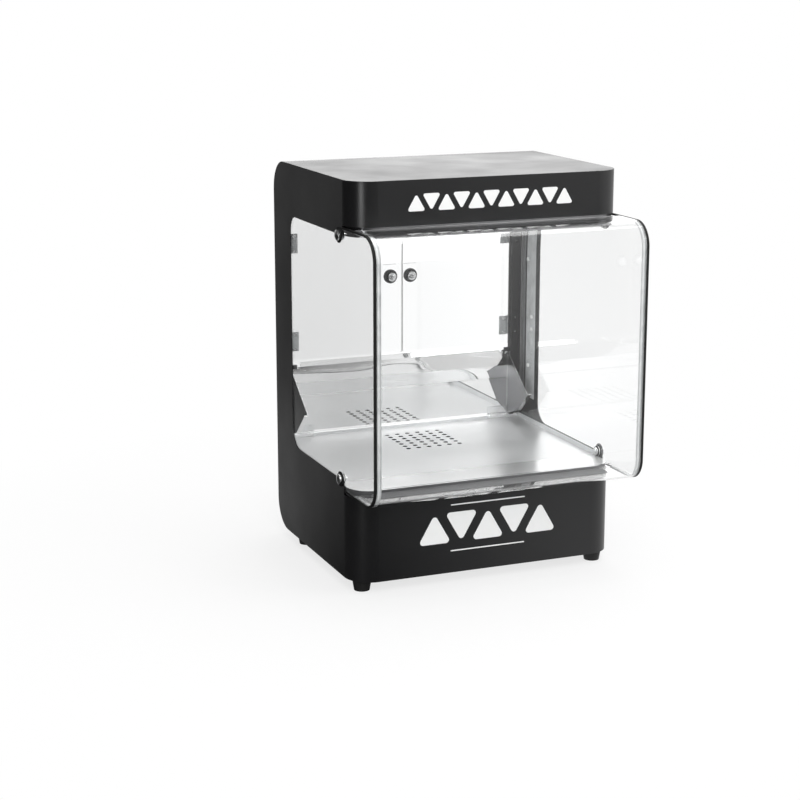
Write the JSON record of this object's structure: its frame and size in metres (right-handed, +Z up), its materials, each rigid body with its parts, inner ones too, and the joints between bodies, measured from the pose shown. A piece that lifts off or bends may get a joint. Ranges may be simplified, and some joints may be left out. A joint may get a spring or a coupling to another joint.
{
  "type": "chip warmer",
  "caption": "Countertop chip warmer: black sheet casing, bent clear front shield, steel deck with warm-air holes, hinged clear rear doors and a tilting rear flap.",
  "frame": {"origin": "middle of the footprint on the counter", "axes": "+X to the right seen from the front, +Y towards the rear doors, +Z up"},
  "size_m": [0.5098, 0.5, 0.7],
  "materials": {
    "black_paint": "satin powder coat",
    "stainless": "fine brushed",
    "bright_stainless": "mirror polished",
    "clear_panel": "clear acrylic, polished",
    "black_trim": "matt edging",
    "bright_metal": "polished",
    "black_plastic": "fine texture",
    "foot_rubber": "matt",
    "zinc": "zinc plated",
    "frosted_panel": "frosted",
    "lamp_glass": "opal",
    "heater_metal": "heat tinted",
    "ceramic_white": "glazed"
  },
  "bodies": {
    "cabinet": {"base_fascia": "black_paint", "base_tray": "black_paint", "deck_nose": "bright_stainless", "deck_plate": "stainless", "door_hinge_pins": "bright_metal", "door_hinge_plates": "bright_metal", "fan_frame": "black_plastic", "fan_screws": "zinc", "fan_standoffs": "zinc", "flap_catches": "black_plastic", "flap_hinge_pins": "bright_metal", "flap_hinge_plates": "bright_metal", "foot_front_left": "foot_rubber", "foot_front_right": "foot_rubber", "foot_rear_left": "foot_rubber", "foot_rear_right": "foot_rubber", "foot_screws": "zinc", "head_fascia": "black_paint", "head_liner": "stainless", "heat_switch_body": "black_plastic", "heater_duct": "heater_metal", "heating_element": "heater_metal", "hinge_plate_screws": "bright_metal", "inlet_screws": "bright_metal", "lamp_diffuser": "frosted_panel", "lamp_holders": "ceramic_white", "lamp_reflector": "bright_stainless", "lamp_tube": "lamp_glass", "light_switch_body": "black_plastic", "pane_studs": "bright_metal", "power_inlet": "black_plastic", "rear_frame": "black_paint", "rear_sill": "stainless", "roof_panel": "black_paint", "shield_bolts": "bright_metal", "shield_cap_nuts": "bright_metal", "shield_front": "clear_panel", "shield_side_left": "clear_panel", "shield_side_right": "clear_panel", "shield_trim_left": "black_trim", "shield_trim_right": "black_trim", "shield_washers": "black_trim", "side_panel_left": "black_paint", "side_panel_right": "black_paint", "terminal_block": "ceramic_white", "thermal_cutout": "zinc"},
    "left_door": {"door_left": "clear_panel", "door_left_hinge_leaves": "bright_metal", "door_left_knob": "black_plastic", "door_left_screws": "bright_metal"},
    "right_door": {"door_right": "clear_panel", "door_right_hinge_leaves": "bright_metal", "door_right_knob": "black_plastic", "door_right_screws": "bright_metal"},
    "flap": {"rear_flap": "bright_stainless", "flap_hinge_leaves": "bright_metal", "flap_studs": "bright_metal"},
    "light_rocker": {"light_switch_rocker": "black_plastic"},
    "heat_rocker": {"heat_switch_rocker": "black_plastic"},
    "fan": {"fan_rotor": "black_plastic"}
  },
  "joints": [
    {"name": "left_door_hinge", "type": "hinge", "parent": "cabinet", "child": "left_door", "pos_m": [-0.2245, 0.2428, 0.454], "axis": [0, 0, 1], "range_deg": [0, 105]},
    {"name": "right_door_hinge", "type": "hinge", "parent": "cabinet", "child": "right_door", "pos_m": [0.2245, 0.2428, 0.454], "axis": [0, 0, -1], "range_deg": [0, 105]},
    {"name": "flap_hinge", "type": "hinge", "parent": "cabinet", "child": "flap", "pos_m": [0, 0.2319, 0.1906], "axis": [-1, 0, 0], "range_deg": [0, 55]},
    {"name": "light_rocker_pivot", "type": "hinge", "parent": "cabinet", "child": "light_rocker", "pos_m": [0.07, 0.238, 0.122], "axis": [1, 0, 0], "range_deg": [0, 20]},
    {"name": "heat_rocker_pivot", "type": "hinge", "parent": "cabinet", "child": "heat_rocker", "pos_m": [0.11, 0.238, 0.122], "axis": [1, 0, 0], "range_deg": [0, 20]},
    {"name": "fan_spin", "type": "hinge", "parent": "cabinet", "child": "fan", "pos_m": [0, 0.133, 0.052], "axis": [0, 0, 1], "continuous": true}
  ]
}
